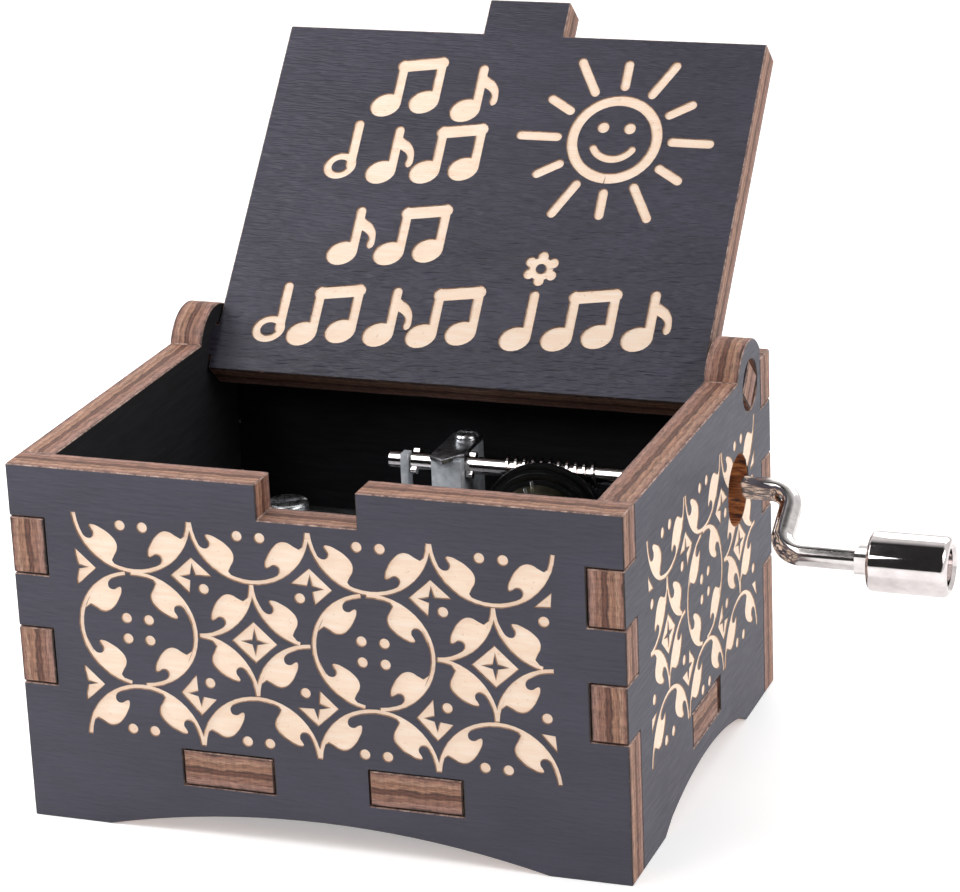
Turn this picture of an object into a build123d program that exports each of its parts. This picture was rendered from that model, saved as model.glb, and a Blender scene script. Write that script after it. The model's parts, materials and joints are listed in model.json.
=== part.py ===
from build123d import *
import math
import os

# Hand crank music box: a laser-cut plywood case with a swinging lid, and an
# 18-note movement inside it that is turned by a bent wire crank.
# Millimetres. X runs to the crank side, Y runs from the front to the hinge side
# and Z runs up from the surface that the case stands on. The lid is open.

os.makedirs("parts", exist_ok=True)

# Case
case_width = 64.0
case_depth = 52.0
rim_height = 38.2
back_height = 38.15          # the open lid leans on this edge
ply = 3.7                    # plywood thickness
kerf = 0.12                  # gap that the laser leaves round a finger or tab
finger_levels = [0.0, 14.9, 20.8, 26.7, 32.6]   # start of each finger, upwards
floor_level = 5.42           # underside of the bottom panel
inner_x = case_width / 2 - ply
inner_y = case_depth / 2 - ply
floor_top = floor_level + ply

# Lid and its wooden hinge
hinge_y = 18.3
hinge_z = 36.6
hinge_hole_r = 2.75
ear_r = 4.9
lid_lean = 42.3              # degrees back from upright when it is open
lid_centre = -0.35           # the lid sits a little towards the left wall
lid_half_width = 27.8
lid_reach = 39.3             # hinge axis to the front edge
lid_tail = 3.4               # hinge axis to the back edge
pivot_height = 3.8
thumb_centre = -0.4
thumb_width = 9.4
thumb_reach = 4.3
notch_half_width = 5.2
notch_depth = 3.7

# Crank
shaft_y = 13.3
shaft_z = 27.1
wire_r = 1.2
journal_r = 0.95             # the wire is drawn thinner inside the case
fit = 0.04                   # radial running fit of a shaft in its bearing
shaft_start = -6.6
journal_end = 26.0
arm_x = 38.1                 # plane of the crank arm
handle_y = 6.24
handle_z = 23.0
bend_r = 2.5
knob_start = 47.8
knob_end = 56.05
knob_r = 3.12
mouth_r = 2.0                # recess in the knob's free end
mouth_depth = 1.8
stake_end = knob_end - 1.0   # the wire is staked inside the recess, up to here
stake_thick = 0.6
crank_hole_r = 3.8
crank_hole_z = 26.74

# Worm drive
worm_pitch = 0.95
worm_turns = 11
worm_crest_r = 1.4
wheel_teeth = 26
wheel_pitch_r = wheel_teeth * worm_pitch / (2 * math.pi)
worm_pitch_r = 1.27

# Cylinder and comb
cylinder_x = 11.5
cylinder_z = shaft_z - wheel_pitch_r - worm_pitch_r
cylinder_r = 5.0
cylinder_front = -9.8
cylinder_back = 9.4
axle_r = 1.0
pin_height = 0.6
notes = 18
note_pitch = 1.05
comb_top = 22.3
comb_thick = 1.4


def block(x0, x1, y0, y1, z0, z1):
    """A box between two corners."""
    return Pos((x0 + x1) / 2, (y0 + y1) / 2, (z0 + z1) / 2) * Box(x1 - x0, y1 - y0, z1 - z0)


def rect(a0, a1, b0, b1):
    """A flat rectangle between two corners."""
    return Pos((a0 + a1) / 2, (b0 + b1) / 2) * Rectangle(a1 - a0, b1 - b0)


def rod(radius, start, end):
    """A round bar between two points."""
    start = Vector(start)
    run = Vector(end) - start
    return extrude(Plane(origin=start, z_dir=run) * Circle(radius), run.length)


def write(node, shape):
    """Save one sub-part under its node name."""
    shape.label = node
    export_step(shape, f"parts/{node}.step")


# Arches between the feet: half width, rise and width of the shoulder at each end
long_wall_arch = (23.5, 2.8, 0)
short_wall_arch = (15.0, 3.0, 2.4)


def arch(half_width, rise, shoulder):
    """The cut-out between two feet: an arc whose ends drop at steep shoulders."""
    inner = half_width - shoulder
    side_rise = rise * 0.4 if shoulder else 0
    top = ThreePointArc((-inner, side_rise), (0, rise), (inner, side_rise))
    if not shoulder:
        return make_face(top + Line((inner, 0), (-inner, 0)))
    ends = Polyline((inner, side_rise), (half_width, 0), (half_width, -1), (-half_width, -1),
                    (-half_width, 0), (-inner, side_rise))
    return make_face(top + ends)


def side_fingers(inner, outer, gap):
    """The pairs of fingers that a side panel pushes through its neighbour."""
    shape = Sketch()
    for low, high in ((finger_levels[1], finger_levels[2]), (finger_levels[3], finger_levels[4])):
        for sign in (-1, 1):
            shape += rect(*sorted((sign * inner, sign * outer)), low - gap, high + gap)
    return shape


# Tabs of the bottom panel: start and end along the wall that each one passes through
long_wall_tabs = ((-14.8, -5.15), (5.15, 14.8))
short_wall_tab = (-4.8, 4.1)
short_wall_slot_end = 5.3    # the slot is cut longer than its tab, towards the hinge side


def long_wall(height, notch):
    """Outline of the front or back panel, drawn as width by height."""
    shape = rect(-case_width / 2, case_width / 2, 0, height)
    shape -= side_fingers(inner_x - kerf, case_width / 2 + 1, kerf)
    for low, high in long_wall_tabs:
        shape -= rect(low - kerf, high + kerf, floor_level - kerf, floor_top + kerf)
    shape -= arch(*long_wall_arch)
    if notch:
        shape -= rect(-notch_half_width, notch_half_width, height - notch_depth, height + 1)
    return shape


def end_wall(crank_hole):
    """Outline of a side panel, drawn as depth by height, with its hinge ear."""
    ear = Pos(hinge_y, hinge_z) * Circle(ear_r)
    ear = ear & rect(hinge_y - ear_r, inner_y, rim_height - ear_r, rim_height + ear_r)
    shape = rect(-inner_y, inner_y, 0, rim_height) + ear
    shape += side_fingers(inner_y, case_depth / 2, 0)
    shape -= Pos(hinge_y, hinge_z) * Circle(hinge_hole_r)
    shape -= rect(short_wall_tab[0] - kerf, short_wall_slot_end,
                  floor_level - kerf, floor_top + kerf)
    shape -= arch(*short_wall_arch)
    if crank_hole:
        shape -= Pos(shaft_y, crank_hole_z) * Circle(crank_hole_r)
    return shape


def facing_y(y):
    """Plane at depth y whose drawing reads as seen from the front."""
    return Plane(origin=(0, y, 0), x_dir=(1, 0, 0), z_dir=(0, -1, 0))


def facing_x(x):
    """Plane at x whose drawing reads as seen from the crank side."""
    return Plane(origin=(x, 0, 0), x_dir=(0, 1, 0), z_dir=(1, 0, 0))


# Case panels
write("front_panel", extrude(facing_y(-inner_y) * long_wall(rim_height, True), ply))
write("back_panel", extrude(facing_y(case_depth / 2) * long_wall(back_height, False), ply))
write("left_panel", extrude(facing_x(-case_width / 2) * end_wall(False), ply))
write("right_panel", extrude(facing_x(inner_x) * end_wall(True), ply))

bottom = rect(-inner_x, inner_x, -inner_y, inner_y)
bottom += rect(-case_width / 2, case_width / 2, *short_wall_tab)
for low, high in long_wall_tabs:
    bottom += rect(low, high, -case_depth / 2, case_depth / 2)
mount_screws = [(-18.6, -11.0), (-9.5, 16.0), (16.9, -6.0)]
mount_hole_r = 1.4
for x, y in mount_screws:
    bottom -= Pos(x, y) * Circle(mount_hole_r)
write("bottom_panel", extrude(Pos(0, 0, floor_level) * bottom, ply))

# Lid: drawn as width by distance from the hinge axis
lean = math.radians(lid_lean)
lid_face = Plane(origin=(0, hinge_y, hinge_z), x_dir=(1, 0, 0),
                 z_dir=(0, -math.cos(lean), math.sin(lean)))
lid = rect(lid_centre - lid_half_width, lid_centre + lid_half_width, -lid_tail, lid_reach)
lid += rect(-case_width / 2, case_width / 2, -pivot_height / 2, pivot_height / 2)
lid += rect(thumb_centre - thumb_width / 2, thumb_centre + thumb_width / 2,
            lid_reach - 1, lid_reach + thumb_reach)
write("lid", extrude(lid_face * lid, ply / 2, both=True))


def screw(head_r, head_height, shank_r, length, crown=0.7):
    """A slotted screw, head up, its head's underside at the origin and its rim rounded by crown."""
    head = extrude(Circle(head_r), head_height)
    rim = head.edges().filter_by(GeomType.CIRCLE).sort_by(Axis.Z)[-1]
    head = fillet(rim, head_height * crown)
    slot = Box(head_r * 3, head_r * 0.32, head_height * 0.9)
    head -= Pos(0, 0, head_height) * slot
    return head + extrude(Circle(shank_r), -length)


# Movement frame: one die casting with the comb seat, the axle posts and the crank posts
base_thick = 1.5
base_top = floor_top + base_thick
comb_screws = [(-16.3, -6.8), (-16.3, 6.8)]
comb_screw_r = 1.2
comb_back = -19.4
comb_bottom = comb_top - comb_thick
cap_screw_x = cylinder_x + 2.6
cap_level = cylinder_z + axle_r + 0.05
axle_posts = ((-13.2, -11.0), (16.0, 18.4))     # front and back of each axle post
block_front = 11.0
block_back = 18.4
clamp_level = shaft_z + journal_r + 0.15
clamp_screw = (0.85, 16.7)
small_screw_r = 0.7
boss_r = 2.3
boss_top = 13.4
mount_screw_r = 1.15
base_sides = (-21.3, 19.6, -13.6, 19.0)         # left, right, front and back of the base
base_corner_r = 2.0
seat_end = -9.6              # the comb seat stops here, so that the teeth hang free
seat_half = 10.3
post_left = cylinder_x - 2.6
post_right = cylinder_x + 4.1
block_left = -1.2            # block under the clamp
block_right = 2.1
finger_left = -5.05          # thin upright that holds the shaft's neck
finger_right = -4.25
finger_front = 11.9
finger_back = 15.4
finger_shoulder = 22.5
finger_top = 28.2

frame = block(*base_sides, floor_top, base_top)
frame = fillet(frame.edges().filter_by(Axis.Z), base_corner_r)
frame += block(comb_back - 0.6, seat_end, -seat_half, seat_half, base_top, comb_bottom)
for front, back in axle_posts:
    frame += block(post_left, post_right, front, back, base_top, cap_level)
frame += block(block_left, block_right, block_front, block_back, base_top, clamp_level)
frame += block(finger_left, finger_right, finger_front, finger_back, base_top, finger_shoulder)
frame += block(finger_left, finger_right, finger_front, shaft_y, finger_shoulder, finger_top)
for x, y in mount_screws:
    frame += Pos(x, y, base_top) * extrude(Circle(boss_r), boss_top - base_top)
for x, y in mount_screws:
    frame -= rod(mount_screw_r + fit, (x, y, floor_top - 1), (x, y, boss_top + 1))
for x, y in comb_screws:
    frame -= rod(comb_screw_r + fit, (x, y, comb_bottom - 6), (x, y, comb_bottom + 1))
for front, back in axle_posts:
    frame -= rod(axle_r + fit, (cylinder_x, front - 1, cylinder_z), (cylinder_x, back + 1, cylinder_z))
    frame -= block(cylinder_x - axle_r - fit, cylinder_x + axle_r + fit, front - 1, back + 1,
                   cylinder_z, cap_level + 1)
    middle = (front + back) / 2
    frame -= rod(small_screw_r + fit, (cap_screw_x, middle, cap_level - 4),
                 (cap_screw_x, middle, cap_level + 1))
frame -= rod(journal_r + fit, (-2, shaft_y, shaft_z), (3, shaft_y, shaft_z))
frame -= block(-2, 3, shaft_y - journal_r - fit, shaft_y + journal_r + fit, shaft_z, clamp_level + 1)
frame -= rod(small_screw_r + fit, (*clamp_screw, clamp_level - 5), (*clamp_screw, clamp_level + 1))
neck_r = 0.6
frame -= rod(neck_r + fit, (-6, shaft_y, shaft_z), (-4, shaft_y, shaft_z))
write("movement_frame", frame)

mounting_screws = [Pos(x, y, floor_level) * Rot(180, 0, 0) * screw(2.2, 0.9, mount_screw_r, 7.6)
                   for x, y in mount_screws]
write("mounting_screws", Compound(children=mounting_screws))

# Clamp over the crank shaft
clamp_thick = 0.5
clamp_corners = ((-1.3, 10.9), (0.5, 9.8), (2.1, 12.2), (2.1, 18.6), (-1.3, 18.6))
clamp_outline = make_face(Polyline(*clamp_corners, close=True))
clamp_outline -= Pos(*clamp_screw) * Circle(small_screw_r + 0.1)
write("shaft_clamp", extrude(Pos(0, 0, clamp_level) * clamp_outline, clamp_thick))
write("shaft_clamp_screw",
      Pos(*clamp_screw, clamp_level + clamp_thick) * screw(1.35, 0.85, small_screw_r, 4.5))

# Caps over the cylinder axle
cap_thick = 0.6
caps = []
cap_screws = []
for front, back in axle_posts:
    middle = (front + back) / 2
    cap = block(post_left, post_right, front, back, cap_level, cap_level + cap_thick)
    caps.append(cap - rod(small_screw_r + 0.1, (cap_screw_x, middle, cap_level - 1),
                          (cap_screw_x, middle, cap_level + 2)))
    cap_screws.append(Pos(cap_screw_x, middle, cap_level + cap_thick)
                      * screw(1.15, 0.8, small_screw_r, 4.2))
write("axle_caps", Compound(children=caps))
write("axle_cap_screws", Compound(children=cap_screws))

# Comb: eighteen steel teeth, long at the front for the low notes
tip_x = cylinder_x - cylinder_r - pin_height - 0.12
comb_width = notes * note_pitch + 0.4
slot_width = 0.28
tooth_thick = 0.6
long_root = -7.2
short_root = -2.6
first_note_y = -note_pitch * (notes - 1) / 2
comb = block(comb_back, tip_x, -comb_width / 2, comb_width / 2, comb_bottom, comb_top)
comb -= block(short_root, tip_x + 1, -comb_width, comb_width, comb_bottom - 1, comb_top - tooth_thick)
comb -= extrude(Pos(0, 0, comb_bottom - 1)
                * make_face(Polyline((long_root, -comb_width), (short_root, comb_width),
                                     (tip_x + 1, comb_width), (tip_x + 1, -comb_width), close=True)),
                comb_thick - tooth_thick + 1)
for gap in range(notes - 1):
    y = first_note_y + (gap + 0.5) * note_pitch
    root = long_root + (short_root - long_root) * (gap + 0.5) / (notes - 1)
    comb -= block(root, tip_x + 1, y - slot_width / 2, y + slot_width / 2, comb_bottom - 1, comb_top + 1)
for x, y in comb_screws:
    comb -= rod(comb_screw_r + 0.1, (x, y, comb_bottom - 1), (x, y, comb_top + 1))
write("comb", comb)

comb_screw_solids = [Pos(x, y, comb_top) * Rot(0, 0, 35) * screw(2.35, 1.5, comb_screw_r, 6.6, 0.3)
                     for x, y in comb_screws]
write("comb_screws", Compound(children=comb_screw_solids))

# Lead weights under the low teeth, heavier towards the lowest note
weighted_notes = 7
weight_end = tip_x - 0.6
weight_half = 0.36
longest_weight, shorter_by = 4.2, 0.4
deepest_weight, shallower_by = 1.5, 0.12
weights = []
for note in range(weighted_notes):
    y = first_note_y + note * note_pitch
    length = longest_weight - note * shorter_by
    weight_top = comb_top - tooth_thick
    weights.append(block(weight_end - length, weight_end, y - weight_half, y + weight_half,
                         weight_top - deepest_weight + note * shallower_by, weight_top))
write("comb_weights", Compound(children=weights))

# Pinned cylinder, closed by a disc at each end and pressed on its axle
axis_start = (cylinder_x, cylinder_front, cylinder_z)
axis_end = (cylinder_x, cylinder_back, cylinder_z)
wall = 0.5
cap_depth = 1.0

# Pins: each note plays on its own steps of a 48-step turn, so that chords and runs alternate
pins = []
steps = 48
pin_r = 0.19
for note in range(notes):
    y = first_note_y + note * note_pitch
    for step in range(steps):
        if (step * 5 + note * 7) % 23 in (0, 9):
            angle = 2 * math.pi * step / steps
            out = Vector(math.cos(angle), 0, math.sin(angle))
            foot = Vector(cylinder_x, y, cylinder_z) + out * (cylinder_r - wall)
            tip = Vector(cylinder_x, y, cylinder_z) + out * (cylinder_r + pin_height)
            pins.append(rod(pin_r, foot, tip))
write("cylinder_pins", Compound(children=pins))

cylinder = rod(cylinder_r, axis_start, axis_end)
cylinder -= rod(cylinder_r - wall, axis_start, axis_end)
cylinder -= pins
write("cylinder", cylinder)

end_discs = []
for y in (cylinder_front + 0.3, cylinder_back - 0.3 - cap_depth):
    disc = rod(cylinder_r - wall, (cylinder_x, y, cylinder_z), (cylinder_x, y + cap_depth, cylinder_z))
    end_discs.append(disc - rod(axle_r, axis_start, axis_end))
write("cylinder_end_discs", Compound(children=end_discs))
write("cylinder_axle", rod(axle_r, (cylinder_x, -13.7, cylinder_z), (cylinder_x, 18.9, cylinder_z)))

# Worm wheel: a moulded wheel with a broad stepped flange on the cylinder side
flange_r = 6.95
step_r = 6.15
step_front = 9.85
groove_depth = 0.2
flange_groove = (6.4, 6.75)
step_groove = (5.35, 5.75)
flange_front = 10.15
flange_thick = 0.9
tooth_front = 11.4
tooth_back = 15.2
wheel_hub_r = 3.3
tooth_tip_r = shaft_z - cylinder_z - journal_r - 0.1
tooth_root_r = shaft_z - cylinder_z - worm_crest_r - 0.12
tip_half = 0.125
root_half = 0.25


def wheel_rod(radius, y0, y1):
    """A round bar on the cylinder's axis."""
    return rod(radius, (cylinder_x, y0, cylinder_z), (cylinder_x, y1, cylinder_z))


tooth = make_face(Polyline((-root_half, tooth_root_r - 0.1), (-root_half, tooth_root_r),
                           (-tip_half, tooth_tip_r), (tip_half, tooth_tip_r),
                           (root_half, tooth_root_r), (root_half, tooth_root_r - 0.1), close=True))
toothed_ring = Sketch() + Circle(tooth_root_r)
for index in range(wheel_teeth):
    toothed_ring += Rot(0, 0, 360 * index / wheel_teeth) * tooth
toothed_plane = Plane(origin=(cylinder_x, tooth_back, cylinder_z), x_dir=(1, 0, 0), z_dir=(0, -1, 0))
wheel = extrude(toothed_plane * toothed_ring, tooth_back - tooth_front)
wheel += wheel_rod(wheel_hub_r, cylinder_back + 0.05, tooth_front + 0.5)
wheel += wheel_rod(flange_r, flange_front, flange_front + flange_thick)
wheel += wheel_rod(step_r, step_front, flange_front)
for (inner, outer), front in ((flange_groove, flange_front), (step_groove, step_front)):
    floor = front + groove_depth
    wheel -= wheel_rod(outer, front - 1, floor) - wheel_rod(inner, front - 2, floor + 1)
wheel -= wheel_rod(axle_r, 9, 16)
write("worm_wheel", wheel)

# Crank: one bent wire with a rolled worm, a neck, and squeezed ears that hold it endways
route = FilletPolyline((shaft_start, shaft_y, shaft_z), (arm_x, shaft_y, shaft_z),
                       (arm_x, handle_y, handle_z), (stake_end, handle_y, handle_z),
                       radius=bend_r)
crank = sweep(Plane(origin=route @ 0, z_dir=route % 0) * Circle(wire_r), route)
worm_start = cylinder_x - worm_pitch * (worm_turns / 2)
neck = (-5.25, -4.1)         # start and end of the groove that the frame's finger sits in


def shaft_rod(radius, x0, x1):
    """A round bar on the crank shaft's axis."""
    return rod(radius, (x0, shaft_y, shaft_z), (x1, shaft_y, shaft_z))


crank -= shaft_rod(3, shaft_start - 1, journal_end) - shaft_rod(journal_r, shaft_start - 1, journal_end + 1)
crank -= shaft_rod(3, *neck) - shaft_rod(neck_r, -6, -3)
turn = Helix(worm_pitch, worm_pitch * worm_turns, journal_r)
thread_section = Plane(origin=turn @ 0, x_dir=(1, 0, 0), z_dir=turn % 0)
thread_root, thread_crest, thread_height = 0.27, 0.11, worm_crest_r - journal_r
thread_outline = make_face(Polyline((-0.1, -thread_root), (thread_height, -thread_crest),
                                    (thread_height, thread_crest), (-0.1, thread_root), close=True))
thread = sweep(thread_section * thread_outline, turn, is_frenet=True)
crank += Pos(worm_start, shaft_y, shaft_z) * Rot(0, 90, 0) * thread
ear_angle = 52
ear_size = (0.65, 2.9, 0.9)
for x in (-3.75, 2.6):
    ear = fillet(Box(*ear_size).edges().filter_by(Axis.X), 0.3)
    crank += Pos(x, shaft_y, shaft_z) * Rot(ear_angle, 0, 0) * ear
stop_ear_size = (1.3, 3.0, 2.3)
stop_ear = fillet(Box(*stop_ear_size).edges().filter_by(Axis.X), 0.4)
crank += Pos(knob_start - 0.15 - stop_ear_size[0] / 2, handle_y, handle_z) * stop_ear
stake_r = 1.6
crank += rod(stake_r, (stake_end - stake_thick, handle_y, handle_z), (stake_end, handle_y, handle_z))
write("crank_shaft", crank)

# Knob: a hollow turned handle, free to spin on the wire, staked inside its mouth
knob = rod(knob_r, (knob_start, handle_y, handle_z), (knob_end, handle_y, handle_z))
knob_ends = knob.edges().filter_by(GeomType.CIRCLE).sort_by(Axis.X)
knob = fillet(knob_ends[0], 0.4)
knob = fillet(knob.edges().filter_by(GeomType.CIRCLE).sort_by(Axis.X)[-1], 0.7)
knob -= rod(mouth_r, (knob_end - mouth_depth, handle_y, handle_z), (knob_end + 1, handle_y, handle_z))
countersink = 0.35
knob -= (Pos(knob_end - countersink / 2, handle_y, handle_z) * Rot(0, 90, 0)
         * Cone(mouth_r, mouth_r + countersink, countersink))
knob -= rod(wire_r + fit, (knob_start - 1, handle_y, handle_z), (knob_end, handle_y, handle_z))
write("crank_knob", knob)
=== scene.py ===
import json
import math

import bpy
from mathutils import Matrix, Vector

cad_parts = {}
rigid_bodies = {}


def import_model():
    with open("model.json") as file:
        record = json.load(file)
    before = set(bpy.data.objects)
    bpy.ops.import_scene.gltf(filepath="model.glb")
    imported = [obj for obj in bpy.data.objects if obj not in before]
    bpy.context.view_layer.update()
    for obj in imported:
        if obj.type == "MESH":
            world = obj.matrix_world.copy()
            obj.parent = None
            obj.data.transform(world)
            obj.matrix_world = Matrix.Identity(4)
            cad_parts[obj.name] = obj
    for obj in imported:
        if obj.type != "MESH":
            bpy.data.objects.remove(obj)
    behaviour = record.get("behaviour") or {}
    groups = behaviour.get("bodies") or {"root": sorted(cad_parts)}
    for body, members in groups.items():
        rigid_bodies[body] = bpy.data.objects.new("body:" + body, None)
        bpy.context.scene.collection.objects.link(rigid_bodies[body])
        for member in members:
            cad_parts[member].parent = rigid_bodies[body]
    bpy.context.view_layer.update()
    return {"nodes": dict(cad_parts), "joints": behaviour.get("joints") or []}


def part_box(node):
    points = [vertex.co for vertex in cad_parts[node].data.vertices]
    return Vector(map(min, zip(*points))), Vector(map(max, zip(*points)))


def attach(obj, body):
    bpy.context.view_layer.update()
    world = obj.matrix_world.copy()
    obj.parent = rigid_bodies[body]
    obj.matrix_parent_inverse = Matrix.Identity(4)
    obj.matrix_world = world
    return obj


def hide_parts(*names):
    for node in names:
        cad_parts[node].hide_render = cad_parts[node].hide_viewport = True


# Hand crank music box: a painted plywood case with engraved walls, an open lid and an 18-note movement
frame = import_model()
mm = 0.001
print("frame loaded")

# Camera
cameraView = {"place": (0.12640, -0.31751, 0.15292), "turn": 20.367, "tilt": 70.696,
              "roll": -2.429, "lens": 131.94, "sensor": 36.0}
bpy.ops.object.camera_add()
camera = bpy.context.object
camera.matrix_world = (Matrix.Translation(cameraView["place"])
                       @ Matrix.Rotation(math.radians(cameraView["turn"]), 4, "Z")
                       @ Matrix.Rotation(math.radians(cameraView["tilt"]), 4, "X")
                       @ Matrix.Rotation(math.radians(cameraView["roll"]), 4, "Z"))
camera.data.lens = cameraView["lens"]
camera.data.sensor_width = cameraView["sensor"]
camera.data.clip_start = 0.01
bpy.context.scene.camera = camera
bpy.context.scene.view_settings.view_transform = "Standard"
print("camera set")


# Mending of a copied node: doubles closer than this are merged, and faces flatter than this joined
mending = {"merge": 0.001, "flatDegrees": 0.2}


# Small tools of the bench
def deselect():
    if bpy.context.object and bpy.context.object.mode != "OBJECT":
        bpy.ops.object.mode_set(mode="OBJECT")
    bpy.ops.object.select_all(action="DESELECT")


def pick(piece):
    deselect()
    piece.select_set(True)
    bpy.context.view_layer.objects.active = piece


def putOn(piece, *materials):
    piece.data.materials.clear()
    for material in materials:
        piece.data.materials.append(material)


def finishModifier(piece, kind, **settings):
    pick(piece)
    modifier = piece.modifiers.new(kind.title(), kind)
    for name, value in settings.items():
        setattr(modifier, name, value)
    bpy.ops.object.modifier_apply(modifier=modifier.name)


def copyOfNode(node, name):
    mesh = frame["nodes"][node].data.copy()
    piece = bpy.data.objects.new(name, mesh)
    bpy.context.scene.collection.objects.link(piece)
    pick(piece)
    if mesh.has_custom_normals:
        bpy.ops.mesh.customdata_custom_splitnormals_clear()
    bpy.ops.object.mode_set(mode="EDIT")
    bpy.ops.mesh.select_all(action="SELECT")
    bpy.ops.mesh.remove_doubles(threshold=mending["merge"] * mm)
    bpy.ops.mesh.dissolve_limited(angle_limit=math.radians(mending["flatDegrees"]))
    bpy.ops.object.mode_set(mode="OBJECT")
    return piece


def smoothByAngle(piece, degrees):
    pick(piece)
    bpy.ops.object.shade_smooth_by_angle(angle=math.radians(degrees))


def handIn(piece, body, node):
    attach(piece, body)
    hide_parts(node)


# Materials
def linear(hexColour):
    channels = [int(hexColour[i:i + 2], 16) / 255 for i in (1, 3, 5)]
    return [c / 12.92 if c <= 0.04045 else ((c + 0.055) / 1.055) ** 2.4 for c in channels] + [1.0]


def addNode(holder, kind, settings=None, links=None):
    # settings go to sockets, to the node's own values or to the stops of a ramp, and a link comes
    # from a node's first output or from the output given after it
    node = holder.node_tree.nodes.new("ShaderNode" + kind)
    for key, value in (settings or {}).items():
        if key == "stops":
            while len(node.color_ramp.elements) < len(value):
                node.color_ramp.elements.new(0.5)
            for element, (place, tone) in zip(node.color_ramp.elements, value):
                element.position = place
                element.color = linear(tone) if isinstance(tone, str) else (tone, tone, tone, 1)
        elif isinstance(key, int) or key in node.inputs:
            node.inputs[key].default_value = value
        else:
            setattr(node, key, value)
    for key, source in (links or {}).items():
        source, output = source if isinstance(source, tuple) else (source, 0)
        holder.node_tree.links.new(source.outputs[output], node.inputs[key])
    return node


def newMaterial(name, patterns, turn=(0, 0, 0), place=(0, 0, 0)):
    # coords are in millimetres: X along a panel, Y up it, Z through it; each pattern is a noise,
    # given by the size of its grains along those three, its detail and its roughness
    material = bpy.data.materials.new(name)
    material.use_nodes = True
    material.node_tree.nodes.clear()
    coords = addNode(material, "Mapping", {"vector_type": "TEXTURE", "Location": place, "Rotation": turn,
                                           "Scale": (mm, mm, mm)},
                     {"Vector": (addNode(material, "TexCoord"), "Object")})
    noises = {"coords": coords}
    for pattern, (size, detail, roughness) in patterns.items():
        spread = addNode(material, "Mapping", {"vector_type": "TEXTURE", "Scale": size}, {"Vector": coords})
        noises[pattern] = addNode(material, "TexNoise", {"Scale": 1.0, "Detail": detail,
                                                         "Roughness": roughness}, {"Vector": spread})
    return material, noises


leanAngle = math.radians(42.3)
panelTurns = {"front": (math.pi / 2, 0, 0), "back": (math.pi / 2, 0, math.pi),
              "right": (math.pi / 2, 0, math.pi / 2), "left": (math.pi / 2, 0, -math.pi / 2),
              "bottom": (0, 0, 0), "lid": (math.pi / 2 - leanAngle, 0, 0)}

lacquer = {"patterns": {"grain": ((4.5, 0.38, 0.38), 6.0, 0.62), "pores": ((1.2, 0.17, 0.17), 3.0, 0.65),
                        "blotches": ((14.0, 6.0, 6.0), 4.0, 0.55), "ridges": ((2.2, 0.34, 0.34), 1.5, 0.5)},
           "film": ((0.25, "#2C2A36"), (0.5, "#363442"), (0.78, "#424050")), "grainShare": 0.35,
           "poreStops": (0.36, 0.48), "poreDarkness": 0.38, "rough": ((0.3, 0.46), (0.7, 0.6)),
           "bump": 0.9, "leastRise": 0.01, "ridgeRise": 0.26, "ior": 1.5}


def blackLacquer(name, turn, place, ridge):
    # satin black lacquer brushed thinly on basswood ply: the grain still stands in it as fine ridges
    material, noises = newMaterial(name, lacquer["patterns"], turn, place)
    tone = addNode(material, "Mix", {"data_type": "FLOAT", 0: lacquer["grainShare"]},
                   {2: noises["blotches"], 3: noises["grain"]})
    film = addNode(material, "ValToRGB", {"stops": lacquer["film"]}, {0: tone})
    deep, full = lacquer["poreStops"]
    poreTones = ((deep, 1 - ridge * lacquer["poreDarkness"]), (full, 1.0))
    sunk = addNode(material, "ValToRGB", {"stops": poreTones}, {0: noises["pores"]})
    colour = addNode(material, "Mix", {"data_type": "RGBA", "blend_type": "MULTIPLY", 0: 1.0},
                     {6: film, 7: sunk})
    rough = addNode(material, "ValToRGB", {"stops": lacquer["rough"]}, {0: noises["grain"]})
    rise = lacquer["leastRise"] + lacquer["ridgeRise"] * ridge
    bump = addNode(material, "Bump", {"Strength": lacquer["bump"], "Distance": rise * mm},
                   {"Height": noises["ridges"]})
    shader = addNode(material, "BsdfPrincipled", {"IOR": lacquer["ior"]},
                     {"Base Color": (colour, 2), "Roughness": rough, "Normal": bump})
    addNode(material, "OutputMaterial", links={"Surface": shader})
    return material


# darker tones for the inner faces: painted shade standing in for the dark inside of the case
insideShade = {"patterns": {"grain": ((5.0, 0.5, 0.5), 5.0, 0.6)}, "tones": ((0.3, "#121215"), (0.7, "#201F23")),
         "bump": 0.3, "rise": 0.1, "roughness": 0.8, "specular": 0.3}


def shadedInsideBlack(name, turn, place):
    # inner faces: a flat black with no lacquer over it, painted darker than the outer lacquer as painted
    # shade for the inside of the case
    material, noises = newMaterial(name, insideShade["patterns"], turn, place)
    colour = addNode(material, "ValToRGB", {"stops": insideShade["tones"]}, {0: noises["grain"]})
    bump = addNode(material, "Bump", {"Strength": insideShade["bump"], "Distance": insideShade["rise"] * mm},
                   {"Height": noises["grain"]})
    shader = addNode(material, "BsdfPrincipled", {"Roughness": insideShade["roughness"],
                                                  "Specular IOR Level": insideShade["specular"]},
                     {"Base Color": colour, "Normal": bump})
    addNode(material, "OutputMaterial", links={"Surface": shader})
    return material


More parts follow.
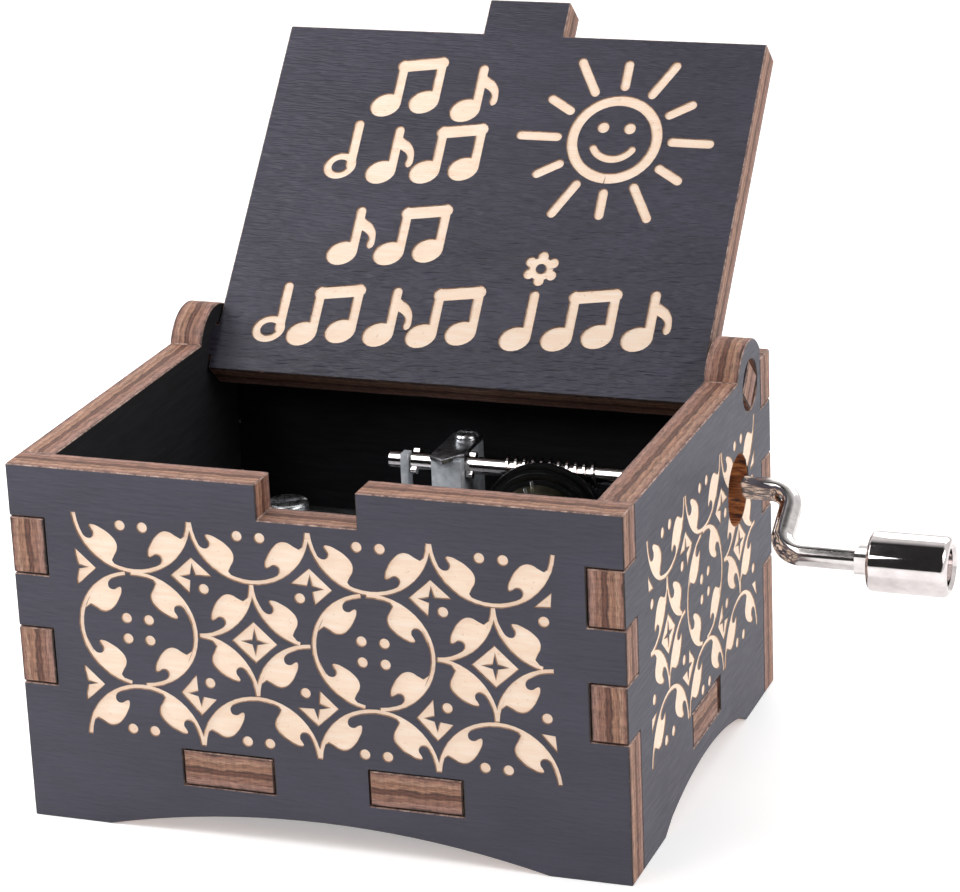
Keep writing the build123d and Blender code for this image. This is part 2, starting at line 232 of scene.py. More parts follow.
cutEdge = {"patterns": {"wander": ((2.4, 2.4, 2.4), 4.0, 0.6), "streaks": ((1.3, 1.3, 0.13), 6.0, 0.7),
                        "beam": ((0.3, 0.3, 2.6), 2.0, 0.5)},
           "wander": 0.9, "fromDepth": -1.4, "toDepth": 2.3,
           "plies": ((0.0, "#432A24"), (0.06, "#976F64"), (0.17, "#AC8270"), (0.23, "#8B6051"),
                     (0.36, "#A0745F"), (0.41, "#613A2D"), (0.48, "#774C3C"), (0.53, "#4F2F25"),
                     (0.59, "#AE8066"), (0.72, "#8F6350"), (0.77, "#B88F76"), (0.92, "#96695A"),
                     (0.97, "#4C2F29")),
           "soot": ((0.38, 0.2), (0.5, 0.85), (0.64, 1.2)), "sootShare": 0.75,
           "beam": ((0.35, 0.8), (0.6, 1.05)), "beamShare": 0.8,
           "bump": 0.5, "rise": 0.12, "roughness": 0.62}


def cutPly(name, turn, place):
    # laser-cut edge of three-ply basswood: two toasted outer plies round a darker core, soot in streaks
    material, noises = newMaterial(name, cutEdge["patterns"], turn, place)
    through = addNode(material, "SeparateXYZ", links={0: noises["coords"]})
    shifted = addNode(material, "Math", {"operation": "MULTIPLY_ADD", 1: cutEdge["wander"]},
                      {0: noises["wander"], 2: (through, 2)})
    depth = addNode(material, "MapRange", {"From Min": cutEdge["fromDepth"],
                                           "From Max": cutEdge["toDepth"]}, {"Value": shifted})
    plies = addNode(material, "ValToRGB", {"stops": cutEdge["plies"]}, {0: depth})
    soot = addNode(material, "ValToRGB", {"stops": cutEdge["soot"]}, {0: noises["streaks"]})
    beam = addNode(material, "ValToRGB", {"stops": cutEdge["beam"]}, {0: noises["beam"]})
    darkened = addNode(material, "Mix", {"data_type": "RGBA", "blend_type": "MULTIPLY",
                                         0: cutEdge["sootShare"]}, {6: plies, 7: soot})
    toned = addNode(material, "Mix", {"data_type": "RGBA", "blend_type": "MULTIPLY",
                                      0: cutEdge["beamShare"]}, {6: (darkened, 2), 7: beam})
    bump = addNode(material, "Bump", {"Strength": cutEdge["bump"], "Distance": cutEdge["rise"] * mm},
                   {"Height": noises["streaks"]})
    shader = addNode(material, "BsdfPrincipled", {"Roughness": cutEdge["roughness"]},
                     {"Base Color": (toned, 2), "Normal": bump})
    addNode(material, "OutputMaterial", links={"Surface": shader})
    return material


arris = {"patterns": {"chips": ((0.9, 0.9, 0.9), 4.0, 0.7)},
         "wornAndPaintedLight": ((0.36, "#5A443C"), (0.5, "#937467"), (0.64, "#C2A596")),
         "sootAndPaintedShade": ((0.4, "#1C1512"), (0.6, "#3A2A24"), (0.72, "#7C6054")),
         "paintedTopLight": ((0.2, 0.0), (0.5, 1.0)), "roughness": 0.6}


def chippedRim(name, turn, place):
    # arris of a cut ply panel: chipped to pale wood in spots, and painted pale where it faces up and sooty
    # dark where it faces sideways or down, a painted light on top and painted shade below
    material, noises = newMaterial(name, arris["patterns"], turn, place)
    wornAndPaintedLight = addNode(material, "ValToRGB", {"stops": arris["wornAndPaintedLight"]}, {0: noises["chips"]})
    sootAndPaintedShade = addNode(material, "ValToRGB", {"stops": arris["sootAndPaintedShade"]}, {0: noises["chips"]})
    # the world-space facing picks pale or dark: painted top light on upward arrises, painted shade on the
    # rest
    facing = addNode(material, "SeparateXYZ", links={0: (addNode(material, "NewGeometry"), "Normal")})
    paintedTopLight = addNode(material, "ValToRGB", {"stops": arris["paintedTopLight"]}, {0: (facing, 2)})
    colour = addNode(material, "Mix", {"data_type": "RGBA"}, {0: paintedTopLight, 6: sootAndPaintedShade, 7: wornAndPaintedLight})
    shader = addNode(material, "BsdfPrincipled", {"Roughness": arris["roughness"]},
                     {"Base Color": (colour, 2)})
    addNode(material, "OutputMaterial", links={"Surface": shader})
    return material


pocket = {"patterns": {"grain": ((4.0, 0.5, 0.5), 4.0, 0.6), "freckles": ((0.7, 0.35, 0.35), 3.0, 0.75)},
          "wood": ((0.3, "#F9DAC0"), (0.5, "#FCE2CB"), (0.7, "#FEEAD8")),
          "freckles": ((0.62, "#FFFFFF"), (0.8, "#C79C78")), "freckleShare": 0.8,
          "scanScale": 1.6, "scanWaver": 0.6, "bump": 0.25, "rise": 0.03, "roughness": 0.75}


def barePocket():
    # engraved floor: pale basswood laid bare by the laser, with faint scan lines and brown freckles
    material, noises = newMaterial("laser_bared_basswood", pocket["patterns"])
    wood = addNode(material, "ValToRGB", {"stops": pocket["wood"]}, {0: noises["grain"]})
    toast = addNode(material, "ValToRGB", {"stops": pocket["freckles"]}, {0: noises["freckles"]})
    colour = addNode(material, "Mix", {"data_type": "RGBA", "blend_type": "MULTIPLY",
                                       0: pocket["freckleShare"]}, {6: wood, 7: toast})
    scan = addNode(material, "TexWave", {"wave_type": "BANDS", "bands_direction": "Y",
                                         "Scale": pocket["scanScale"], "Distortion": pocket["scanWaver"],
                                         "Detail": 1.0}, {"Vector": noises["coords"]})
    bump = addNode(material, "Bump", {"Strength": pocket["bump"], "Distance": pocket["rise"] * mm},
                   {"Height": scan})
    shader = addNode(material, "BsdfPrincipled", {"Roughness": pocket["roughness"]},
                     {"Base Color": (colour, 2), "Normal": bump})
    addNode(material, "OutputMaterial", links={"Surface": shader})
    return material


# Two burnt faces, each a noise over a run of tones and a roughness
burns = {
    # wall of the crank hole: charred black in streaks through orange-brown wood
    "laser_burnt_bore": {"grain": ((0.5, 0.5, 2.4), 4.0, 0.65), "turn": panelTurns["right"],
                         "tones": ((0.38, "#3A1B0E"), (0.48, "#8C4A22"), (0.62, "#C07C42")),
                         "roughness": 0.7},
    # pocket walls: the tan scorch that the laser leaves where it stops
    "laser_scorched_basswood": {"grain": ((0.8, 0.8, 0.8), 3.0, 0.5), "turn": (0, 0, 0),
                                "tones": ((0.3, "#84654F"), (0.55, "#AF8B6E"), (0.75, "#D2B294")),
                                "roughness": 0.8}}


def burntWood(name):
    burn = burns[name]
    material, noises = newMaterial(name, {"char": burn["grain"]}, burn["turn"])
    colour = addNode(material, "ValToRGB", {"stops": burn["tones"]}, {0: noises["char"]})
    shader = addNode(material, "BsdfPrincipled", {"Roughness": burn["roughness"]}, {"Base Color": colour})
    addNode(material, "OutputMaterial", links={"Surface": shader})
    return material


scorched = burntWood("laser_scorched_basswood")
pocketFloor = barePocket()
print("wood materials made")

# Engraving tools: each is a flat outline made solid, wider by a chamfer above its floor
engraving = {"depth": 0.13, "sideDepth": 0.07, "chamfer": 0.07, "stand": 0.3, "stem": 0.5, "dot": 0.5,
             "merge": 0.002, "curveSteps": 5, "stemRadius": 6.2, "swagRadius": 6.22, "ringSquash": 0.96}


def solidFrom(name, outlines):
    flat = bpy.data.curves.new(name, "CURVE")
    flat.dimensions = "2D"
    flat.fill_mode = "BOTH"
    flat.resolution_u = engraving["curveSteps"]
    chamfer = engraving["chamfer"] * mm
    flat.extrude = (engraving["depth"] + engraving["stand"]) / 2 * mm - chamfer
    flat.bevel_depth = chamfer
    flat.bevel_resolution = 0
    for outline in outlines:
        spline = flat.splines.new("BEZIER")
        spline.bezier_points.add(len(outline) - 1)
        spline.use_cyclic_u = True
        for point, (x, y, *corner) in zip(spline.bezier_points, outline):
            point.co = (x * mm, y * mm, 0)
            kind = "VECTOR" if corner else "AUTO"
            point.handle_left_type = kind
            point.handle_right_type = kind
    tool = bpy.data.objects.new(name, flat)
    bpy.context.scene.collection.objects.link(tool)
    pick(tool)
    bpy.ops.object.convert(target="MESH")
    tool = bpy.context.object
    putOn(tool, scorched, pocketFloor)
    bpy.ops.object.mode_set(mode="EDIT")
    bpy.ops.mesh.select_all(action="SELECT")
    bpy.ops.mesh.remove_doubles(threshold=engraving["merge"] * mm)
    bpy.ops.mesh.normals_make_consistent(inside=False)
    bpy.ops.object.mode_set(mode="OBJECT")
    low = min(v.co.z for v in tool.data.vertices)
    for face in tool.data.polygons:
        isFloor = face.normal.z < -0.99 and face.center.z < low + 0.001 * mm
        face.material_index = 1 if isFloor else 0
    tool.data.transform(Matrix.Translation((0, 0, -engraving["depth"] * mm - low)))
    return tool


def arcOutline(radius, start, end, width, squash=1.0, steps=22):
    half = width / 2 - engraving["chamfer"]
    angles = [math.radians(start + (end - start) * i / steps) for i in range(steps + 1)]
    outer = [((radius + half) * math.cos(a), (radius + half) * math.sin(a) * squash, 1) for a in angles]
    inner = [((radius - half) * math.cos(a), (radius - half) * math.sin(a) * squash, 1) for a in angles]
    return [outer + inner[::-1]]


def ovalOutline(halfLong, halfShort):
    return [[(halfLong, 0), (0, halfShort), (-halfLong, 0), (0, -halfShort)]]


def capsuleOutline(length, width, steps=6):
    half = width / 2 - engraving["chamfer"]
    ends = []
    for side in (1, -1):
        for step in range(steps + 1):
            angle = math.radians(-90 + 180 * step / steps)
            ends.append((side * (length / 2 + half * math.cos(angle)), side * half * math.sin(angle), 1))
    return [ends]


# the leaf sits inside the lower left of a circle of radius 6.2 and rides on its stem
leafOutline = [[(-5.95, -1.6, 1), (-5.62, -2.35), (-5.2, -2.95), (-4.72, -3.14), (-4.3, -2.95),
                (-4.18, -2.45), (-4.45, -1.98), (-4.52, -1.72), (-4.2, -1.66), (-3.3, -1.98),
                (-2.35, -2.6), (-1.78, -3.35), (-1.76, -4.05), (-2.1, -4.7), (-2.38, -5.28, 1),
                (-1.9, -5.9, 1), (-3.3, -5.25, 1), (-4.4, -4.37, 1), (-5.2, -3.38, 1), (-5.8, -2.2, 1)]]
starTip, starWaist = 1.45, 0.27
halfDiamond = [[(0, 2.0, 1), (-2.2, 0, 1), (0, -2.0, 1), (0, -starTip, 1), (-starWaist, -starWaist, 1),
                (-starTip, 0, 1), (-starWaist, starWaist, 1), (0, starTip, 1)]]
threeQuarters = [[(0, 2.0, 1), (1.95, 0.32, 1), (starWaist + 0.1, starWaist, 1), (0, starTip, 1),
                  (-starWaist, starWaist, 1), (-starTip, 0, 1), (-starWaist, -starWaist - 0.1, 1),
                  (-0.42, -1.65, 1), (-2.2, 0, 1)]]
quarter = [[(-0.35, 1.75, 1), (-1.95, 0.3, 1), (-0.45, 0.42, 1)]]
stem, stemRadius, squash = engraving["stem"], engraving["stemRadius"], engraving["ringSquash"]
tools = {
    "leaf": solidFrom("leafTool", leafOutline),
    "dot": solidFrom("dotTool", ovalOutline(engraving["dot"], engraving["dot"])),
    "half": solidFrom("halfDiamondTool", halfDiamond),
    "three": solidFrom("threeQuarterTool", threeQuarters),
    "quarter": solidFrom("quarterTool", quarter),
    "swag": solidFrom("swagTool", arcOutline(engraving["swagRadius"], 185, 355, stem)),
    "ringLeft": solidFrom("ringLeftTool", arcOutline(stemRadius, 100, 259, stem, squash)),
    "ringRight": solidFrom("ringRightTool", arcOutline(stemRadius, -86, 94, stem, squash)),
    "arm": solidFrom("armTool", arcOutline(stemRadius, 183, 267, stem, 1, 12)),
    "shortArm": solidFrom("shortArmTool", arcOutline(stemRadius, 183, 257, stem, 1, 12)),
}
print("engraving tools made")


# A lattice of circles: swags above and below, and between them rings or four arms round a diamond
lattice = {"rise": 12.4, "swagDotDrop": 1.5, "dotGap": 1.2, "lowDotShift": -0.25,
           "ringLeafSize": 0.96, "ringDots": (1.2, 1.1),
           "diamondDrop": 0.15, "diamondSize": 1.05, "armReach": 6.2,
           "armLeafTurn": 2, "armLeafSize": 0.975, "outerDots": (5.1, 5.0), "pointRise": 6.25, "pointDrop": 0.1, "endSize": 0.92,
           # the point between two columns loses its quarter on the side of the arms
           "points": {("ring", "arms", 1): ("three", 0), ("arms", "ring", 1): ("threeMirror", 0),
                      ("ring", "arms", -1): ("three", 90), ("arms", "ring", -1): ("three", 180)},
           "endTurns": {(-1, 1): 0, (-1, -1): 90, (1, -1): 180, (1, 1): 270}}


def ringMarks(x, middle):
    acrossGap, upGap = lattice["ringDots"]
    marks = [("ringLeft", x, middle, 0, 1), ("ringRight", x, middle, 0, 1)]
    marks += [("leaf", x, middle, turn, lattice["ringLeafSize"]) for turn in (0, 90, 180, 270)]
    marks += [("dot", x + acrossGap * i, middle + upGap * j, 0, 1) for i in (-1, 1) for j in (-1, 1)]
    return marks


def armMarks(x, middle):
    diamondMiddle = middle - lattice["diamondDrop"]
    marks = [("half", x, diamondMiddle, turn, lattice["diamondSize"]) for turn in (0, 180)]
    for i, j, turn in ((1, 1, 0), (-1, 1, 90), (-1, -1, 180), (1, -1, 270)):
        centre = (x + i * lattice["armReach"], middle + j * lattice["armReach"])
        marks.append(("arm" if turn else "shortArm", *centre, turn, 1))
        marks.append(("leaf", *centre, turn + lattice["armLeafTurn"], lattice["armLeafSize"]))
        dotAcross, dotUp = lattice["outerDots"]
        marks.append(("dot", x + i * dotAcross, middle + j * dotUp, 0, 1))
    return marks


def latticeMarks(columns, middle, kinds):
    marks = []
    top, low = middle + lattice["rise"], middle - lattice["rise"]
    for x, kind in zip(columns, kinds):
        marks += [("swag", x, top, 0, 1), ("swag", x, low, 180, 1)]
        marks += [("leaf", x, top, turn, 1) for turn in (0, 90)]
        marks += [("leaf", x, low, turn, 1) for turn in (180, 270)]
        for dotX in (x - lattice["dotGap"], x + lattice["dotGap"]):
            marks.append(("dot", dotX, top - lattice["swagDotDrop"], 0, 1))
            marks.append(("dot", dotX + lattice["lowDotShift"], low + lattice["swagDotDrop"], 0, 1))
        marks += ringMarks(x, middle) if kind == "ring" else armMarks(x, middle)
    pitch = columns[1] - columns[0]
    ends = ((columns[0] - pitch / 2, kinds[0], 1), (columns[-1] + pitch / 2, kinds[-1], -1))
    for up in (1, -1):
        y = middle + up * lattice["pointRise"] - lattice["pointDrop"]
        for left, (before, after) in zip(columns, zip(kinds, kinds[1:])):
            tool, turn = lattice["points"][before, after, up]
            marks.append((tool, left + pitch / 2, y, turn, 1))
        for x, kind, side in ends:
            if kind == "ring":
                marks.append(("half", x, y, 180 if side > 0 else 0, lattice["endSize"]))
            else:
                marks.append(("quarter", x, y, lattice["endTurns"][side, up], 1))
    return marks


# three quarters of a point, turned over
mirrored = tools["three"].copy()
mirrored.data = tools["three"].data.copy()
bpy.context.scene.collection.objects.link(mirrored)
mirrored.data.transform(Matrix.Scale(-1, 4, (1, 0, 0)))
mirrored.data.flip_normals()
tools["threeMirror"] = mirrored


def engrave(panel, marks, face):
    # every mark gets its own cutter, laid on the face, and one boolean sinks them all
    cutters = bpy.data.collections.new("cutters")
    for kind, x, y, turn, size in marks:
        cutter = bpy.data.objects.new("cutter", tools[kind].data.copy())
        cutter.data.transform(face @ Matrix.Translation((x * mm, y * mm, 0))
                              @ Matrix.Rotation(math.radians(turn), 4, "Z")
                              @ Matrix.Diagonal((size, size, 1, 1)))
        cutters.objects.link(cutter)
    bpy.context.scene.collection.children.link(cutters)
    finishModifier(panel, "BOOLEAN", operation="DIFFERENCE", solver="EXACT", operand_type="COLLECTION",
                   collection=cutters, material_mode="TRANSFER")
    for cutter in list(cutters.objects):
        bpy.data.objects.remove(cutter)
    bpy.data.collections.remove(cutters)


def basis(across, up, out, origin):
    matrix = Matrix.Identity(4)
    for column, vector in enumerate((across, up, out, origin)):
        for row in range(3):
            matrix[row][column] = vector[row]
    return matrix


walls = {"halfPly": 1.85, "arris": 0.11, "arrisFrom": 40, "smoothBelow": 25, "caseRidge": 0.25,
         "latticeMiddle": 21.75, "sideDrop": 0.7,
         "longColumns": [-18.75, -6.25, 6.25, 18.75], "longKinds": ["ring", "arms", "ring", "arms"],
         "shortColumns": [-12.4, 0.5, 13.4], "shortKinds": ["arms", "ring", "arms"],
         "boreReach": 4.6}              # nothing else on the right wall's edges is this near the crank


def plyPanel(node, name, turn, outward, place, marks=(), face=None, body="case", ridge=walls["caseRidge"]):
    piece = copyOfNode(node, name)
    paint = blackLacquer(name + "_black_lacquer_on_ply", turn, place, ridge)
    edge = cutPly(name + "_laser_cut_three_ply", turn, place)
    rim = chippedRim(name + "_chipped_arris", turn, place)
    putOn(piece, paint, edge, rim)
    innerSlot = 0                       # the lid is lacquered on both faces
    if body == "case":
        innerSlot = 3
        # the inner faces take the darker black, painted shade for the inside of the case
        piece.data.materials.append(shadedInsideBlack(name + "_black_inside_painted_shade", turn, place))
    finishModifier(piece, "BEVEL", width=walls["arris"] * mm, segments=1, limit_method="ANGLE",
                   angle_limit=math.radians(walls["arrisFrom"]), material=2)
    for polygon in piece.data.polygons:
        if polygon.material_index != 2:
            facing = polygon.normal.dot(outward)
            polygon.material_index = 0 if facing > 0.9 else innerSlot if facing < -0.9 else 1
    if marks:
        engrave(piece, marks, face)
    smoothByAngle(piece, walls["smoothBelow"])
    handIn(piece, body, node)
    return piece


pivots = {joint["name"]: Vector(joint["pos_m"]) for joint in frame["joints"]}
xAxis, yAxis, zAxis = Vector((1, 0, 0)), Vector((0, 1, 0)), Vector((0, 0, 1))
frontLow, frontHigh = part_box("front_panel")
halfWidth, frontY, backY = frontHigh.x, frontLow.y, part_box("back_panel")[1].y
halfPly = walls["halfPly"] * mm
shallower = (engraving["depth"] - engraving["sideDepth"]) * mm
longMarks = latticeMarks(walls["longColumns"], walls["latticeMiddle"], walls["longKinds"])
shortMarks = latticeMarks(walls["shortColumns"], walls["latticeMiddle"] - walls["sideDrop"],
                          walls["shortKinds"])
front = plyPanel("front_panel", "front_wall", panelTurns["front"], -yAxis, (0, frontY + halfPly, 0),
                 longMarks, basis(xAxis, zAxis, -yAxis, (0, frontY, 0)))
print("front wall engraved", len(front.data.polygons))
right = plyPanel("right_panel", "right_wall", panelTurns["right"], xAxis, (halfWidth - halfPly, 0, 0),
                 shortMarks, basis(yAxis, zAxis, xAxis, (halfWidth + shallower, 0, 0)))
print("right wall engraved", len(right.data.polygons))
right.data.materials.append(burntWood("laser_burnt_bore"))
crankAxis = pivots["crank_spin"]
for polygon in right.data.polygons:
    fromAxis = math.hypot(polygon.center.y - crankAxis.y, polygon.center.z - crankAxis.z)
    if polygon.material_index == 1 and fromAxis < walls["boreReach"] * mm:
        polygon.material_index = len(right.data.materials) - 1
plyPanel("back_panel", "back_wall", panelTurns["back"], yAxis, (0, backY - halfPly, 0),
         longMarks, basis(-xAxis, zAxis, yAxis, (0, backY, 0)))
plyPanel("left_panel", "left_wall", panelTurns["left"], -xAxis, (-halfWidth + halfPly, 0, 0),
         shortMarks, basis(-yAxis, zAxis, -xAxis, (-halfWidth - shallower, 0, 0)))
floorLow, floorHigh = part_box("bottom_panel")
plyPanel("bottom_panel", "floor_panel", panelTurns["bottom"], -zAxis,
         (0, 0, (floorLow.z + floorHigh.z) / 2))
print("walls and floor made")


# Lid: the inside face carries a sun, a flower and four rows of music notes
lidSigns = {"ridge": 1.15, "shift": -0.6, "outsideMiddle": 18.0,
            "head": (1.75, 1.35), "headTurn": 22, "hollow": (1.45, 1.0, 0.8),
            "stem": (5.0, 1.15), "stemPlace": (1.2, 2.7),
            "pairHeads": ((-2.2, 0), (2.2, 0.6)),
            "beam": (4.5, 1.5), "beamPlace": (1.2, 5.25), "beamTurn": 8,
            "flagPlace": (1.15, 5.2),
            "sun": (13.1, 26.9), "sunRing": (4.75, 1.25), "rays": 12, "rayStart": 6.5,
            "rayLengths": (4.2, 2.7), "rayWidth": 1.1,
            "eye": 0.62, "eyePlace": (1.5, 1.4), "smile": (2.6, 0.9), "smileSpan": (212, 328),
            "smileLift": 0.2, "smileEnd": 0.38,
            "flower": (7.9, 11.0), "flowerRing": (0.98, 0.86),
            "petals": 6, "petal": 0.55, "petalReach": 1.45,
            "notes": (("pair", -11.9, 29.8), ("eighth", -4.7, 29.6),
                      ("half", -17.8, 22.0), ("eighth", -12.9, 21.5), ("pair", -5.6, 21.8),
                      ("eighth", -15.2, 11.4), ("pair", -7.6, 11.7),
                      ("half", -21.6, 1.8), ("pair", -15.5, 1.5), ("eighth", -8.9, 2.0), ("pair", -1.8, 2.2),
                      ("quarter", 6.6, 2.6), ("pair", 13.4, 2.9), ("eighth", 20.0, 3.5))}
flagOutline = [[(0, 0.3), (0.5, -0.75), (1.75, -1.7), (2.3, -3.0), (1.95, -4.4), (1.6, -4.2), (1.6, -3.1),
                (1.0, -2.45), (0.05, -2.1, 1)]]
hollowRadius, hollowWidth, hollowSquash = lidSigns["hollow"]
sunRadius, sunWidth = lidSigns["sunRing"]
flowerRadius, flowerWidth = lidSigns["flowerRing"]
smileRadius, smileWidth = lidSigns["smile"]
longRay, shortRay = lidSigns["rayLengths"]
tools.update({
    "head": solidFrom("headTool", ovalOutline(*lidSigns["head"])),
    "hollowTop": solidFrom("hollowTopTool",
                           arcOutline(hollowRadius, -2, 182, hollowWidth, hollowSquash, 14)),
    "noteStem": solidFrom("noteStemTool", capsuleOutline(*lidSigns["stem"])),
    "noteBeam": solidFrom("noteBeamTool", capsuleOutline(*lidSigns["beam"])),
    "flag": solidFrom("flagTool", flagOutline),
    "sunHalf": solidFrom("sunHalfTool", arcOutline(sunRadius, -92, 92, sunWidth, 1, 26)),
    "longRay": solidFrom("longRayTool", capsuleOutline(longRay, lidSigns["rayWidth"])),
    "shortRay": solidFrom("shortRayTool", capsuleOutline(shortRay, lidSigns["rayWidth"])),
    "smile": solidFrom("smileTool", arcOutline(smileRadius, *lidSigns["smileSpan"], smileWidth, 1, 16)),
    "eye": solidFrom("eyeTool", ovalOutline(lidSigns["eye"], lidSigns["eye"])),
    "smileEnd": solidFrom("smileEndTool", ovalOutline(lidSigns["smileEnd"], lidSigns["smileEnd"])),
    "petal": solidFrom("petalTool", ovalOutline(lidSigns["petal"], lidSigns["petal"])),
    "flowerRing": solidFrom("flowerRingTool", arcOutline(flowerRadius, -4, 184, flowerWidth, 1, 14)),
})


def noteMarks(kind, x, y):
    # a note stands on its head; a pair is joined by a beam
    marks = []
    stemX, stemY = lidSigns["stemPlace"]
    beamX, beamY = lidSigns["beamPlace"]
    flagX, flagY = lidSigns["flagPlace"]
    for dx, dy in lidSigns["pairHeads"] if kind == "pair" else ((0, 0),):
        if kind == "half":
            marks += [("hollowTop", x, y, turn + lidSigns["headTurn"], 1) for turn in (0, 180)]
        else:
            marks.append(("head", x + dx, y + dy, lidSigns["headTurn"], 1))
        marks.append(("noteStem", x + dx + stemX, y + dy + stemY, 90, 1))
    if kind == "pair":
        marks.append(("noteBeam", x + beamX, y + beamY, lidSigns["beamTurn"], 1))
    if kind == "eighth":
        marks.append(("flag", x + flagX, y + flagY, 0, 1))
    return marks


def around(x, y, reach, degrees):
    return x + reach * math.cos(math.radians(degrees)), y + reach * math.sin(math.radians(degrees))


def sunMarks(x, y):
    marks = [("sunHalf", x, y, turn, 1) for turn in (0, 180)]
    for index in range(lidSigns["rays"]):
        turn = 360 * index / lidSigns["rays"]
        kind, length = (("longRay", longRay), ("shortRay", shortRay))[index % 2]
        marks.append((kind, *around(x, y, lidSigns["rayStart"] + length / 2, turn), turn, 1))
    eyeX, eyeY = lidSigns["eyePlace"]
    smileY = y + lidSigns["smileLift"]
    marks += [("eye", x + side * eyeX, y + eyeY, 0, 1) for side in (-1, 1)]
    marks.append(("smile", x, smileY, 0, 1))
    marks += [("smileEnd", *around(x, smileY, smileRadius, end), 0, 1) for end in lidSigns["smileSpan"]]
    return marks


def flowerMarks(x, y):
    marks = [("flowerRing", x, y, turn, 1) for turn in (0, 180)]
    for index in range(lidSigns["petals"]):
        turn = 30 + 360 * index / lidSigns["petals"]
        marks.append(("petal", *around(x, y, lidSigns["petalReach"], turn), turn, 1))
    return marks


lidMarks = sunMarks(*lidSigns["sun"]) + flowerMarks(*lidSigns["flower"])
for kind, x, y in lidSigns["notes"]:
    lidMarks += noteMarks(kind, x, y)
lidOut = Vector((0, -math.cos(leanAngle), math.sin(leanAngle)))
lidUp = Vector((0, math.sin(leanAngle), math.cos(leanAngle)))
hingePlace = pivots["lid_hinge"]
lid = plyPanel("lid", "lid_board", panelTurns["lid"], lidOut, hingePlace, lidMarks,
               basis(xAxis, lidUp, lidOut, hingePlace + lidOut * halfPly + xAxis * lidSigns["shift"] * mm),
               "lid", lidSigns["ridge"])
outsideMarks = latticeMarks(walls["longColumns"], lidSigns["outsideMiddle"], walls["longKinds"])
engrave(lid, outsideMarks, basis(-xAxis, lidUp, -lidOut, hingePlace - lidOut * halfPly))
smoothByAngle(lid, walls["smoothBelow"])
print("lid engraved")

for tool in tools.values():
    bpy.data.objects.remove(tool)


# Metals and mouldings of the movement: two tones, roughness from dark to light, grain and bump in mm
metals = {
    # as-cast zinc: dull blue-grey skin with soft mottling, half dulled by its own oxide
    "die_cast_zinc_alloy": {"tones": ("#C4CAD3", "#EDF0F4"), "rough": (0.34, 0.48), "grain": (1.1, 1.1, 1.1),
                            "rise": 0.05, "bump": 0.4, "metallic": 0.35},
    # bright zinc plate on small screws: near mirror with a faint haze
    "zinc_plated_steel": {"tones": ("#C4C7CC", "#E6E7E9"), "rough": (0.22, 0.34), "grain": (0.7, 0.7, 0.7),
                          "rise": 0.02, "bump": 0.4, "metallic": 1.0},
    # pressed steel strip, nickel flashed: mottled grey with rubbed highlights
    "pressed_steel_strip": {"tones": ("#7C7C80", "#BCBCC0"), "rough": (0.26, 0.44),
                            "grain": (0.55, 0.55, 0.55), "rise": 0.05, "bump": 0.4, "metallic": 1.0},
    # ground spring steel: fine lines along each tooth
    "ground_spring_steel": {"tones": ("#8B8D92", "#C2C3C6"), "rough": (0.22, 0.38), "grain": (2.6, 0.12, 0.4),
                            "rise": 0.02, "bump": 0.4, "metallic": 1.0},
    # drawn wire and turned knob under chrome plate: mirror with slight orange peel
    "chrome_plated_steel": {"tones": ("#C9C3C2", "#E6E0DE"), "rough": (0.09, 0.16), "grain": (2.2, 1.0, 1.0),
                            "rise": 0.01, "bump": 0.25, "metallic": 1.0},
    "chrome_plated_turned_brass": {"tones": ("#CFC7C6", "#E9E1E0"), "rough": (0.05, 0.09),
                                   "grain": (2.5, 1.4, 1.4), "rise": 0.008, "bump": 0.2, "metallic": 1.0},
    # brass tube under a thin nickel wash, its tones painted dark olive as painted shade for the drum inside
    # the case
    "shade_darkened_nickel_brass": {"tones": ("#565142", "#766F5B"), "rough": (0.3, 0.45), "grain": (1.5, 1.5, 1.5),
                            "rise": 0.02, "bump": 0.4, "metallic": 1.0},
    # lead poured under the teeth: dull grey, soft and pitted
    "soft_lead_solder": {"tones": ("#5B5D61", "#7E8084"), "rough": (0.45, 0.6), "grain": (0.5, 0.5, 0.5),
                         "rise": 0.06, "bump": 0.4, "metallic": 1.0}}


def metalFinish(name):
    metal = metals[name]
    material, noises = newMaterial(name, {"cloud": (metal["grain"], 5.0, 0.6)})
    dark, light = metal["tones"]
    smooth, dull = metal["rough"]
    colour = addNode(material, "ValToRGB", {"stops": ((0.32, dark), (0.68, light))}, {0: noises["cloud"]})
    rough = addNode(material, "ValToRGB", {"stops": ((0.3, smooth), (0.7, dull))}, {0: noises["cloud"]})
    bump = addNode(material, "Bump", {"Strength": metal["bump"], "Distance": metal["rise"] * mm},
                   {"Height": noises["cloud"]})
    shader = addNode(material, "BsdfPrincipled", {"Metallic": metal["metallic"]},
                     {"Base Color": colour, "Roughness": rough, "Normal": bump})
    addNode(material, "OutputMaterial", links={"Surface": shader})
    return material


acetal = {"patterns": {"skin": ((0.35, 0.35, 0.35), 4.0, 0.5)},
          "tones": ((0.35, "#0A0A0B"), (0.65, "#141416")),
          "bump": 0.2, "rise": 0.02, "roughness": 0.28, "ior": 1.48}


def mouldedAcetal(name):
    # injection-moulded acetal: black, waxy, with a faint moulded skin
    material, noises = newMaterial(name, acetal["patterns"])
    colour = addNode(material, "ValToRGB", {"stops": acetal["tones"]}, {0: noises["skin"]})
    bump = addNode(material, "Bump", {"Strength": acetal["bump"], "Distance": acetal["rise"] * mm},
                   {"Height": noises["skin"]})
    shader = addNode(material, "BsdfPrincipled", {"Roughness": acetal["roughness"], "IOR": acetal["ior"]},
                     {"Base Color": colour, "Normal": bump})
    addNode(material, "OutputMaterial", links={"Surface": shader})
    return material


finishes = {name: metalFinish(name) for name in metals}
finishes["moulded_black_acetal"] = mouldedAcetal("moulded_black_acetal")
print("metals made")

